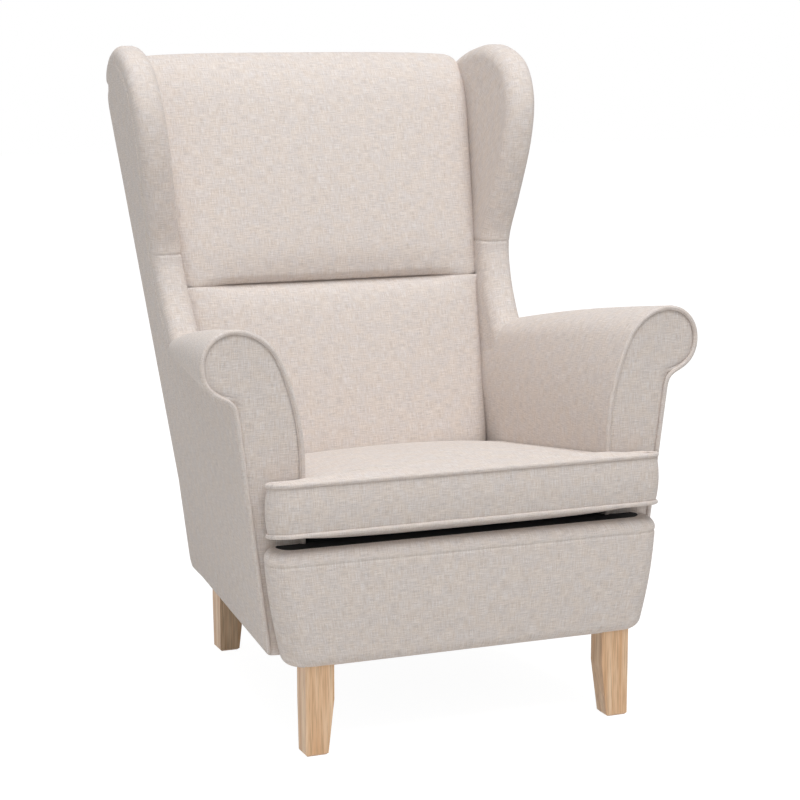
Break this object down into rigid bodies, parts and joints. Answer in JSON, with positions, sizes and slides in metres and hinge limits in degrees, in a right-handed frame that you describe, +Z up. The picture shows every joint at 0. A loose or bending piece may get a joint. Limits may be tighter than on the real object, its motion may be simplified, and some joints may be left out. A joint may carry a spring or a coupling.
{
  "type": "wing armchair",
  "caption": "High-backed upholstered wing armchair with rolled arms, a split back pad, a loose T-shaped seat cushion and tapered wooden legs.",
  "frame": {"origin": "on the floor, under the middle of the chair's overall box", "axes": "+Z up, the chair's front faces -Y, +X to the right as seen from the front"},
  "size_m": [0.8102, 0.8142, 1.031],
  "materials": {
    "upholstery": "woven linen look, matt",
    "foam": "open-cell foam",
    "leg_wood": "satin clear lacquer",
    "frame_wood": "sawn, unfinished",
    "black_cloth": "matt",
    "steel": "zinc plated",
    "zip": "matt"
  },
  "bodies": {
    "chair": {"front_border_cover": "upholstery", "right_arm_cover": "upholstery", "left_arm_cover": "upholstery", "right_arm_facing": "upholstery", "left_arm_facing": "upholstery", "right_arm_welt": "upholstery", "left_arm_welt": "upholstery", "right_wing_cover": "upholstery", "left_wing_cover": "upholstery", "right_outside_panel": "upholstery", "left_outside_panel": "upholstery", "outside_back_panel": "upholstery", "lower_back_cover": "upholstery", "upper_back_cover": "upholstery", "front_border_foam": "foam", "right_arm_foam": "foam", "left_arm_foam": "foam", "right_wing_foam": "foam", "left_wing_foam": "foam", "lower_back_foam": "foam", "upper_back_foam": "foam", "front_right_leg": "leg_wood", "front_left_leg": "leg_wood", "rear_right_leg": "leg_wood", "rear_left_leg": "leg_wood", "front_seat_rail": "frame_wood", "rear_seat_rail": "frame_wood", "right_seat_rail": "frame_wood", "left_seat_rail": "frame_wood", "corner_blocks": "frame_wood", "right_back_post": "frame_wood", "left_back_post": "frame_wood", "back_top_rail": "frame_wood", "back_lumbar_rail": "frame_wood", "right_arm_front_board": "frame_wood", "left_arm_front_board": "frame_wood", "right_arm_rail": "frame_wood", "left_arm_rail": "frame_wood", "right_wing_board": "frame_wood", "left_wing_board": "frame_wood", "seat_deck": "black_cloth", "dust_cover": "black_cloth", "back_webbing": "black_cloth", "leg_plates": "steel", "leg_bolts": "steel", "frame_bolts": "steel", "seat_springs": "steel", "spring_clips": "steel"},
    "seat_cushion": {"seat_cushion_foam": "foam", "seat_cushion_cover": "upholstery", "seat_cushion_top_welt": "upholstery", "seat_cushion_bottom_welt": "upholstery", "seat_cushion_zip": "zip"}
  },
  "joints": [
    {"name": "seat_cushion_lift", "type": "slide", "parent": "chair", "child": "seat_cushion", "axis": [0, 0, 1], "range_m": [0, 0.42]}
  ]
}
